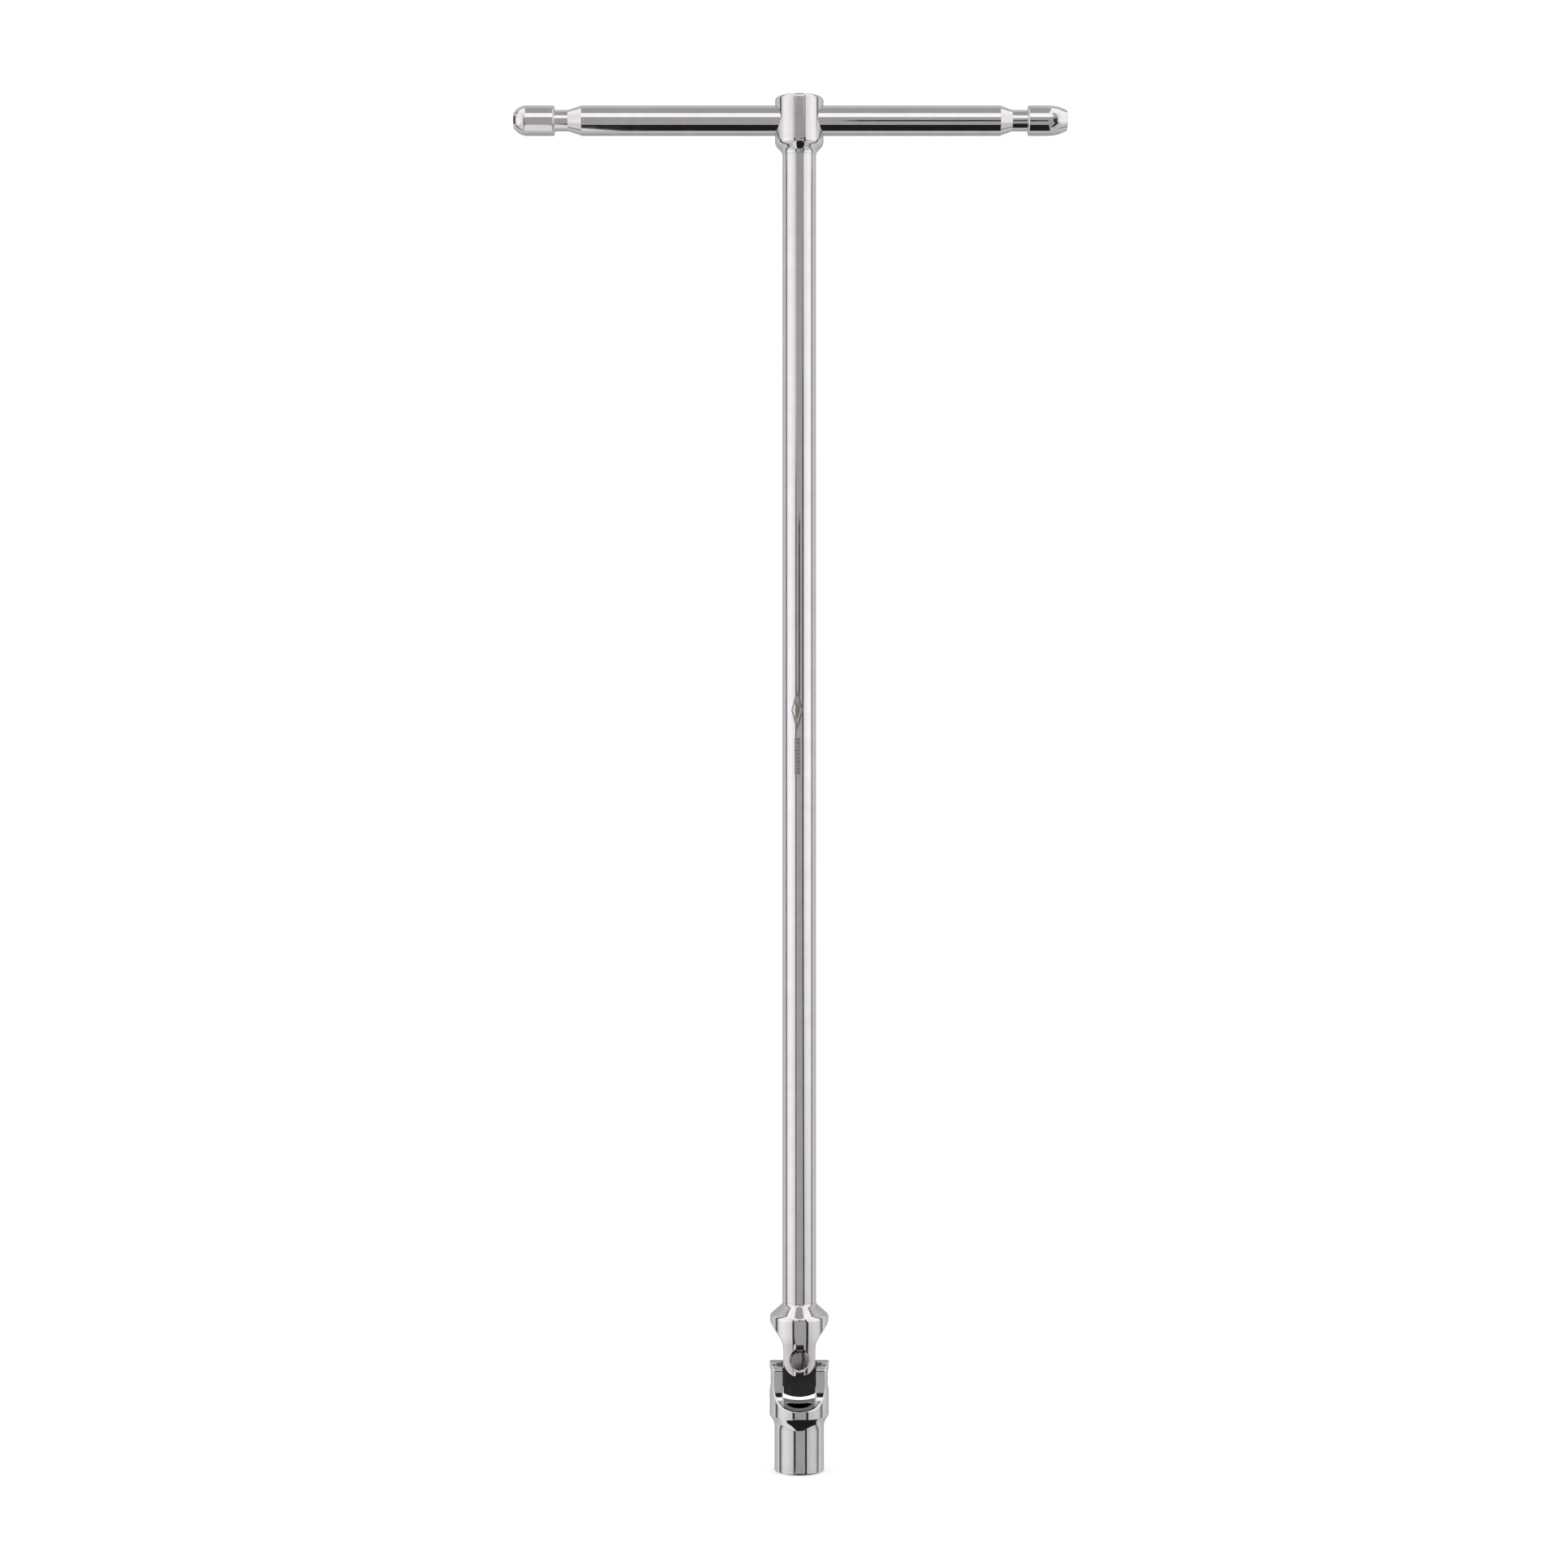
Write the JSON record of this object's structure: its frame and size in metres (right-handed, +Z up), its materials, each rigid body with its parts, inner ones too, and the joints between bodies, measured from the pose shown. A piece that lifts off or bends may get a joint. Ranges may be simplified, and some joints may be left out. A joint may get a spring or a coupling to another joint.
{
  "type": "universal-joint T-handle socket wrench",
  "caption": "Long-shank T-handle hex socket wrench with a sliding detented crossbar and a pinned universal joint above the socket.",
  "frame": {"origin": "centre of the socket's mouth, on the end face", "axes": "+Z up along the shank towards the crossbar, +X along the crossbar, +Y away from the viewer along the upper pin"},
  "size_m": [0.17, 0.0182, 0.4213],
  "materials": {
    "bar_chrome": "bright chrome plate on a turned bar",
    "body_chrome": "bright polished chrome plate",
    "block_black": "matt black phosphate on steel",
    "pin_steel": "dull hardened steel with turned end faces",
    "ball_steel": "ground and polished bearing steel",
    "spring_steel": "bright drawn spring wire"
  },
  "bodies": {
    "handle": {"hub": "body_chrome", "shank": "body_chrome", "yoke": "body_chrome", "yoke_pin": "pin_steel", "detent_spring": "spring_steel"},
    "crossbar": {"t_bar": "bar_chrome"},
    "ball": {"detent_ball": "ball_steel"},
    "block": {"cross_block": "block_black"},
    "driver": {"socket": "body_chrome", "socket_pin": "pin_steel"}
  },
  "joints": [
    {"name": "crossbar_slide", "type": "slide", "parent": "handle", "child": "crossbar", "axis": [1, 0, 0], "range_m": [-0.06775, 0.07305]},
    {"name": "detent_press", "type": "slide", "parent": "handle", "child": "ball", "axis": [0, 0, 1], "range_m": [-0.0005, 0], "stiffness_N_per_m": 3400, "springref_m": 0.0015, "deforming": ["detent_spring"]},
    {"name": "upper_hinge", "type": "hinge", "parent": "handle", "child": "block", "pos_m": [0, 0, 0.035], "axis": [0, 1, 0], "range_deg": [-65, 65]},
    {"name": "lower_hinge", "type": "hinge", "parent": "block", "child": "driver", "pos_m": [0, 0, 0.0285], "axis": [1, 0, 0], "range_deg": [-65, 65]}
  ]
}
